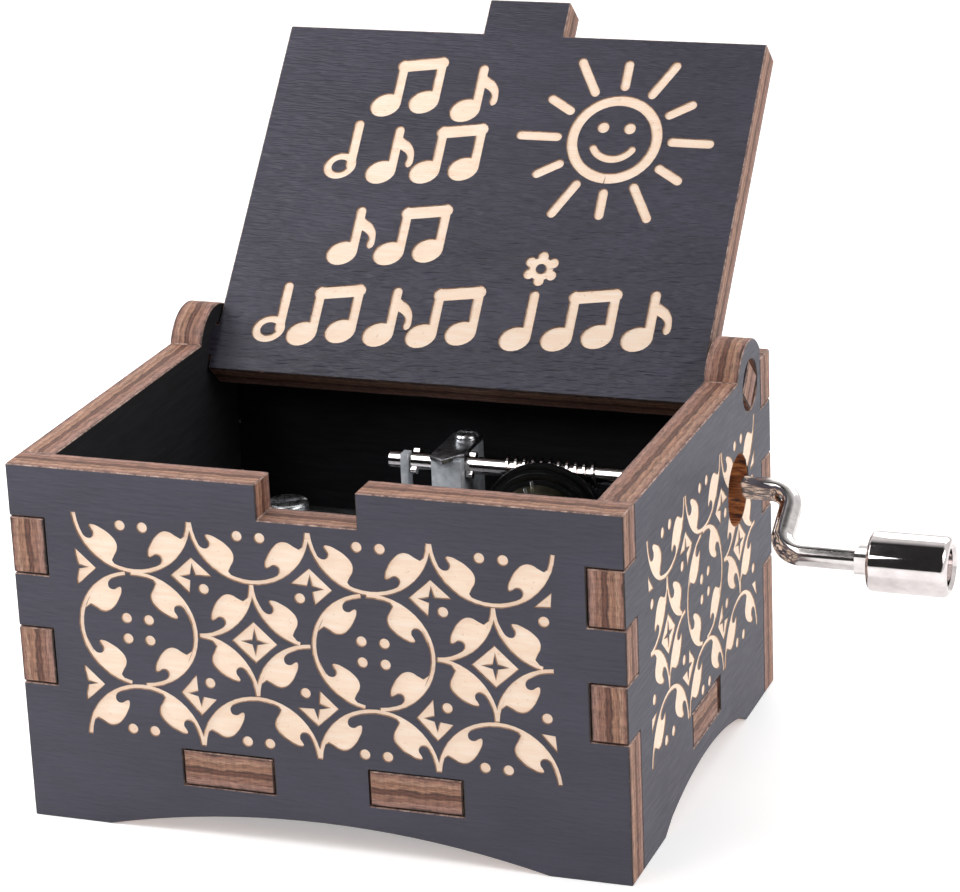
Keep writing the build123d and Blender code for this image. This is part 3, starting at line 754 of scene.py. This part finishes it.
# Each piece of the movement: its finished name, its finish, its slot, its body and its arris in mm
movement = {
    "movement_frame": ("movement_casting", "die_cast_zinc_alloy", "die_cast_zinc", "case", 0.12),
    "shaft_clamp": ("shaft_clamp_plate", "pressed_steel_strip", "pressed_steel", "case", 0.1),
    "shaft_clamp_screw": ("clamp_screw", "zinc_plated_steel", "zinc_plated_steel", "case", 0.06),
    "axle_caps": ("axle_cap_plates", "pressed_steel_strip", "pressed_steel", "case", 0.08),
    "axle_cap_screws": ("cap_screws", "zinc_plated_steel", "zinc_plated_steel", "case", 0.05),
    "comb_screws": ("comb_screw_pair", "zinc_plated_steel", "nickel_plated_steel", "case", 0.1),
    "mounting_screws": ("base_screws", "zinc_plated_steel", "zinc_plated_steel", "case", 0.08),
    "comb": ("steel_comb", "ground_spring_steel", "spring_steel", "case", 0.03),
    "cylinder_axle": ("axle_rod", "zinc_plated_steel", "zinc_plated_steel", "cylinder", 0.12),
    "cylinder": ("pinned_drum", "shade_darkened_nickel_brass", "nickel_plated_brass", "cylinder", 0),
    "crank_shaft": ("crank_wire", "chrome_plated_steel", "chrome_wire", "crank", 0),
    "crank_knob": ("crank_handle", "chrome_plated_turned_brass", "chrome_knob", "knob", 0),
    "worm_wheel": ("drive_wheel", "moulded_black_acetal", "black_acetal", "cylinder", 0.08)}
softening = {"sharperThan": 35, "steps": 2, "smoothBelow": 32}
for node, (name, finish, slot, body, width) in movement.items():
    # the node's own shape with its arrises broken, as tumbling and plating leave them
    piece = copyOfNode(node, name)
    putOn(piece, finishes[finish])
    if width:
        finishModifier(piece, "BEVEL", width=width * mm, segments=softening["steps"], limit_method="ANGLE",
                       angle_limit=math.radians(softening["sharperThan"]))
    smoothByAngle(piece, softening["smoothBelow"])
    handIn(piece, body, node)
plainNodes = {"comb_weights": "soft_lead_solder", "cylinder_pins": "zinc_plated_steel",
              "cylinder_end_discs": "shade_darkened_nickel_brass"}
for node, finish in plainNodes.items():
    putOn(frame["nodes"][node], finishes[finish])
print("movement finished")


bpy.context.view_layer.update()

# Studio: pale floor, bright paper behind and at the sides, a dark room in front and overhead, soft lamps
studio = {"floorSize": 6.0, "floor": "#F4F4F4", "floorGlow": 0.42, "aimHeight": 0.03,
          "paper": 0.85, "darkRoom": 0.03,
          "darkTowards": (0, -0.68, 0.73), "darkFrom": 0.42, "darkFully": 0.66, "backdrop": 1.05,
          # each lamp: its place, how far right or left it aims, its width and height, its power
          "lamps": {"key": ((0.65, -0.15, 0.55), 0, (0.5, 0.5), 2.1),
                    "back": ((0.1, 0.9, 0.7), 0, (0.8, 0.8), 4.5),
                    "lid": ((-0.2, -0.06, 0.16), 0, (0.12, 0.12), 0.45),
                    "strip": ((-0.15, -0.25, 0.4), -0.15, (0.1, 0.45), 0.62)}}
deselect()
bpy.ops.mesh.primitive_plane_add(size=studio["floorSize"])
studioFloor = bpy.context.object
studioFloor.name = "studio_floor"
sweepPaper = newMaterial("matt_white_sweep_paper", {})[0]
sweepShader = addNode(sweepPaper, "BsdfPrincipled", {"Base Color": linear(studio["floor"]), "Roughness": 0.7,
                                                     "Emission Color": linear(studio["floor"]),
                                                     "Emission Strength": studio["floorGlow"]})
addNode(sweepPaper, "OutputMaterial", links={"Surface": sweepShader})
putOn(studioFloor, sweepPaper)
for name, (place, aimX, (wide, tall), power) in studio["lamps"].items():
    bpy.ops.object.light_add(type="AREA", location=place)
    lamp = bpy.context.object
    lamp.name = name + "_lamp"
    lamp.data.shape = "RECTANGLE"
    lamp.data.size = wide
    lamp.data.size_y = tall
    lamp.data.energy = power
    aim = Vector((aimX, 0, studio["aimHeight"])) - Vector(place)
    lamp.rotation_mode = "QUATERNION"
    lamp.rotation_quaternion = aim.to_track_quat("-Z", "Y")
world = bpy.data.worlds.new("studio")
world.use_nodes = True
bpy.context.scene.world = world
sky = addNode(world, "TexCoord")
towards = addNode(world, "VectorMath", {"operation": "DOT_PRODUCT", 1: studio["darkTowards"]},
                  {0: (sky, "Generated")})
paper = addNode(world, "MapRange", {"From Min": studio["darkFrom"], "From Max": studio["darkFully"],
                                    "To Min": studio["paper"], "To Max": studio["darkRoom"]},
                {"Value": (towards, "Value")})
seen = addNode(world, "LightPath")
level = addNode(world, "Mix", {"data_type": "FLOAT", 3: studio["backdrop"]},
                {0: (seen, "Is Camera Ray"), 2: paper})
background = world.node_tree.nodes["Background"]
world.node_tree.links.new(level.outputs[0], background.inputs["Strength"])
background.inputs["Color"].default_value = (1, 1, 1, 1)
print("studio set")
